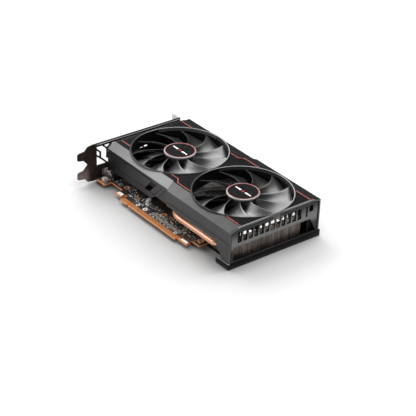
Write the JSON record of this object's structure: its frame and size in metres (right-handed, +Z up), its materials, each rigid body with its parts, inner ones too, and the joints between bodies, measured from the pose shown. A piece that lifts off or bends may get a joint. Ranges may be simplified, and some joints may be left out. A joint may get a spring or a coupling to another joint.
{
  "type": "graphics card",
  "caption": "Two-slot graphics card with a grey and black shroud, swept-blade axial fans, red accent strips, a fin stack, an edge connector and a vented bracket.",
  "frame": {"origin": "bottom centre of the whole card's bounding box, on the surface the card lies on", "axes": "+X from the bracket to the shroud's tail, +Y from the edge connector to the top edge, +Z up, out of the fans"},
  "size_m": [0.2088, 0.1316, 0.04],
  "materials": {
    "board": "satin",
    "contacts": "satin",
    "copper": "satin",
    "substrate": "satin",
    "silicon": "polished",
    "paste": "matte",
    "pads": "matte",
    "chips": "matte",
    "ferrite": "matte",
    "can_metal": "satin",
    "ceramic_parts": "satin",
    "port_steel": "satin",
    "port_plastic": "matte",
    "header_plastic": "satin",
    "plug_plastic": "satin",
    "lead_sheath": "satin",
    "bracket_paint": "semi-gloss",
    "bright_steel": "polished",
    "dark_steel": "satin",
    "spacer_metal": "satin",
    "backplate_paint": "satin",
    "fins": "brushed",
    "shroud_grey": "satin",
    "panel_black": "textured",
    "accent_red": "satin",
    "fan_plastic": "satin",
    "bearing": "satin",
    "stator_steel": "satin",
    "winding": "gloss",
    "drive_board": "satin",
    "rotor_plastic": "satin",
    "magnet": "matte",
    "badge_gloss": "gloss",
    "ring_red": "satin"
  },
  "bodies": {
    "card": {"pcb": "board", "edge_contacts": "contacts", "hole_rings": "copper", "gpu_substrate": "substrate", "gpu_die": "silicon", "thermal_paste": "paste", "memory_chips": "chips", "memory_pads": "pads", "power_inductors": "ferrite", "power_mosfets": "chips", "can_capacitors": "can_metal", "controller_chips": "chips", "small_components": "ceramic_parts", "hdmi_shell": "port_steel", "hdmi_insert": "port_plastic", "displayport_shell": "port_steel", "displayport_insert": "port_plastic", "power_inlet": "port_plastic", "power_pins": "contacts", "fan_headers": "header_plastic", "fan_plugs": "plug_plastic", "fan_1_lead": "lead_sheath", "fan_2_lead": "lead_sheath", "io_bracket": "bracket_paint", "bracket_screws": "bright_steel", "backplate": "backplate_paint", "board_spacers": "spacer_metal", "card_screws": "dark_steel", "cold_plate": "copper", "heat_pipes": "copper", "fin_stack": "fins", "cooler_screws": "bright_steel", "cooler_springs": "bright_steel", "shroud": "shroud_grey", "top_panels": "panel_black", "accent_strips": "accent_red", "fan_1_frame": "fan_plastic", "fan_1_screws": "dark_steel", "fan_1_sleeve": "bearing", "fan_1_stator": "stator_steel", "fan_1_coils": "winding", "fan_1_board": "drive_board", "fan_2_frame": "fan_plastic", "fan_2_screws": "dark_steel", "fan_2_sleeve": "bearing", "fan_2_stator": "stator_steel", "fan_2_coils": "winding", "fan_2_board": "drive_board"},
    "fan_1": {"fan_1_shaft": "bright_steel", "fan_1_rotor": "rotor_plastic", "fan_1_magnet": "magnet", "fan_1_badge": "badge_gloss", "fan_1_ring": "ring_red"},
    "fan_2": {"fan_2_shaft": "bright_steel", "fan_2_rotor": "rotor_plastic", "fan_2_magnet": "magnet", "fan_2_badge": "badge_gloss", "fan_2_ring": "ring_red"}
  },
  "joints": [
    {"name": "fan_1_spin", "type": "hinge", "parent": "card", "child": "fan_1", "pos_m": [-0.03835, 0.0137, 0.033], "axis": [0, 0, 1], "continuous": true},
    {"name": "fan_2_spin", "type": "hinge", "parent": "card", "child": "fan_2", "pos_m": [0.05585, 0.0137, 0.033], "axis": [0, 0, 1], "continuous": true}
  ]
}
